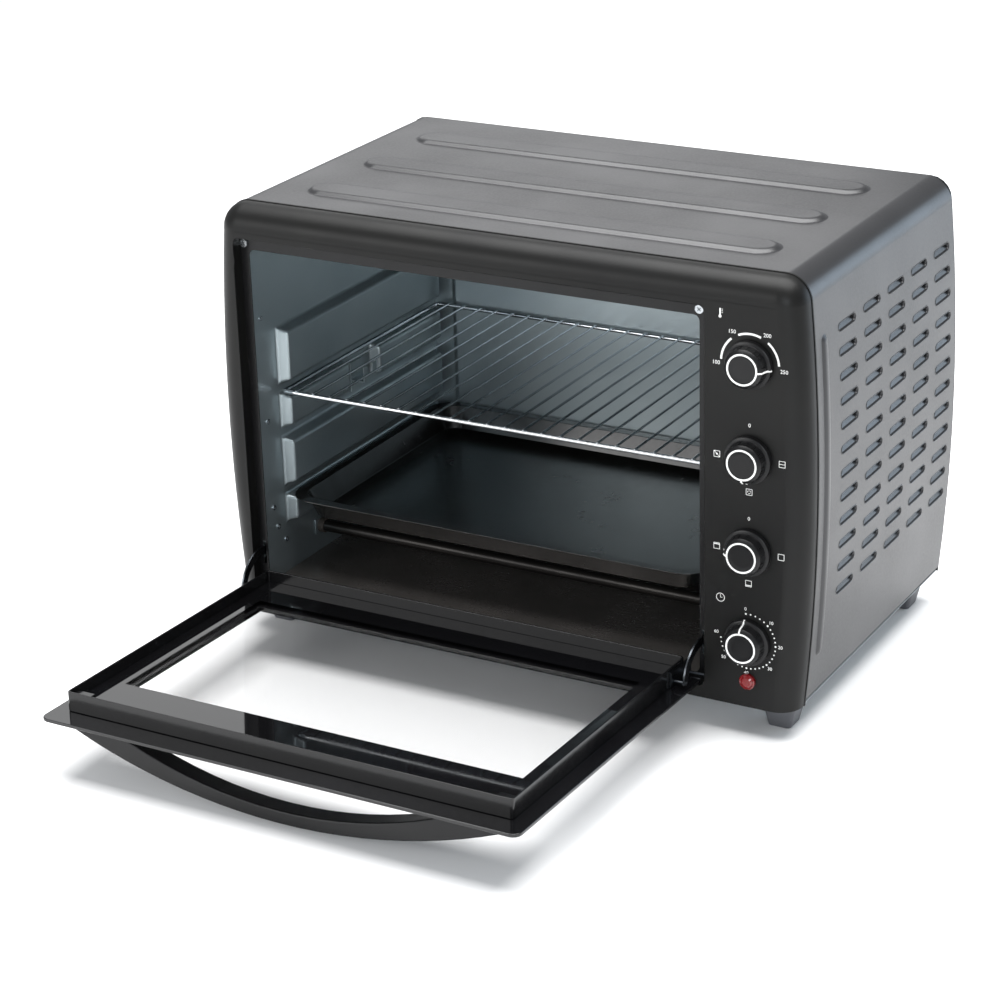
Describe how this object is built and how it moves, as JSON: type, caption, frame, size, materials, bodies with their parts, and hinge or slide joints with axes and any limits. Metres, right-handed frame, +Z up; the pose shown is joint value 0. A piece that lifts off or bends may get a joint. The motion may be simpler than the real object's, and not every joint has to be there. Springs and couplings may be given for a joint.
{
  "type": "rotisserie oven",
  "caption": "Countertop rotisserie oven with bulged sides, a glazed drop-down door open to level, wire shelf, baking tray and a column of control knobs.",
  "frame": {"origin": "bottom centre of the whole object's box with the door open, on the plane that the feet stand on", "axes": "+Z up; -Y towards the user, the way the open door lies; +X to the user's right"},
  "size_m": [0.568, 0.6498, 0.403],
  "materials": {
    "painted_steel": "satin charcoal-black paint on pressed steel sheet",
    "galvanised_steel": "plain galvanised steel sheet",
    "foot_plastic": "moulded grey-black plastic",
    "fascia_plastic": "fine-textured charcoal moulding",
    "flange_paint": "semi-gloss black paint",
    "zinc": "bright zinc plating",
    "aluminised_steel": "blue-grey aluminised steel sheet",
    "heater_sheath": "dull dark stainless sheath",
    "chrome_wire": "bright chrome plating",
    "tray_enamel": "glossy black enamel",
    "brass": "plain brass",
    "knob_plastic": "satin black moulding with white markings",
    "lamp_lens": "clear red faceted lens",
    "ceramic": "off-white ceramic-filled moulding",
    "rubber": "black rubber",
    "door_glass": "tempered glass with a black printed border",
    "door_frame_plastic": "glossy black frame",
    "handle_plastic": "satin black moulding"
  },
  "bodies": {
    "root": {"outer_cover": "painted_steel", "rear_cover": "painted_steel", "base_pan": "galvanised_steel", "foot_front_left": "foot_plastic", "foot_front_right": "foot_plastic", "foot_rear_left": "foot_plastic", "foot_rear_right": "foot_plastic", "front_fascia": "fascia_plastic", "cavity_front_flange": "flange_paint", "flange_screw_left": "zinc", "flange_screw_right": "zinc", "cavity_left_wall": "aluminised_steel", "cavity_right_wall": "aluminised_steel", "cavity_roof": "aluminised_steel", "cavity_floor": "aluminised_steel", "cavity_back_wall": "aluminised_steel", "heater_lower_front": "heater_sheath", "heater_lower_rear": "heater_sheath", "heater_upper_front": "heater_sheath", "heater_upper_rear": "heater_sheath", "spit_support": "zinc", "rotisserie_motor": "galvanised_steel", "fan_guard": "aluminised_steel", "fan_motor": "galvanised_steel", "thermostat_bulb": "brass", "thermostat": "galvanised_steel", "function_switch": "galvanised_steel", "selector_switch": "galvanised_steel", "timer": "brass", "control_bracket": "galvanised_steel", "pilot_lamp_lens": "lamp_lens", "pilot_lamp_holder": "ceramic", "cable_gland": "rubber", "terminal_block": "ceramic", "arm_guide_left": "galvanised_steel", "arm_guide_right": "galvanised_steel"},
    "door": {"door_outer_glass": "door_glass", "door_frame": "door_frame_plastic", "door_inner_glass": "door_glass", "door_handle": "handle_plastic", "door_hinge_left": "zinc", "door_hinge_right": "zinc", "door_arm_left": "zinc", "door_arm_right": "zinc", "door_clip_left": "door_frame_plastic", "door_clip_right": "door_frame_plastic"},
    "shelf": {"wire_shelf": "chrome_wire"},
    "tray": {"baking_tray": "tray_enamel"},
    "spit_drive": {"spit_drive_socket": "zinc"},
    "fan": {"fan_wheel": "aluminised_steel"},
    "temperature_control": {"knob_temperature": "knob_plastic", "shaft_temperature": "zinc"},
    "function_control": {"knob_function": "knob_plastic", "shaft_function": "zinc"},
    "selector_control": {"knob_selector": "knob_plastic", "shaft_selector": "zinc"},
    "timer_control": {"knob_timer": "knob_plastic", "shaft_timer": "zinc"}
  },
  "joints": [
    {"name": "door_hinge", "type": "hinge", "parent": "root", "child": "door", "pos_m": [0, -0.00201, 0.0461], "axis": [-1, 0, 0], "range_deg": [0, 88.2]},
    {"name": "shelf_slide", "type": "slide", "parent": "root", "child": "shelf", "axis": [0, 1, 0], "range_m": [-0.2, 0]},
    {"name": "tray_slide", "type": "slide", "parent": "root", "child": "tray", "axis": [0, 1, 0], "range_m": [-0.2, 0]},
    {"name": "spit_turn", "type": "hinge", "parent": "root", "child": "spit_drive", "pos_m": [0.174, 0.16528, 0.198], "axis": [1, 0, 0], "continuous": true},
    {"name": "fan_turn", "type": "hinge", "parent": "root", "child": "fan", "pos_m": [0.174, 0.16928, 0.303], "axis": [1, 0, 0], "continuous": true},
    {"name": "temperature_turn", "type": "hinge", "parent": "root", "child": "temperature_control", "pos_m": [0.232, -0.00771, 0.329], "axis": [0, 1, 0], "range_deg": [-190, 0]},
    {"name": "function_turn", "type": "hinge", "parent": "root", "child": "function_control", "pos_m": [0.232, -0.00771, 0.24867], "axis": [0, 1, 0], "range_deg": [-180, 90]},
    {"name": "selector_turn", "type": "hinge", "parent": "root", "child": "selector_control", "pos_m": [0.232, -0.00771, 0.16833], "axis": [0, 1, 0], "range_deg": [-270, 0]},
    {"name": "timer_turn", "type": "hinge", "parent": "root", "child": "timer_control", "pos_m": [0.232, -0.00771, 0.088], "axis": [0, 1, 0], "range_deg": [0, 282]}
  ]
}
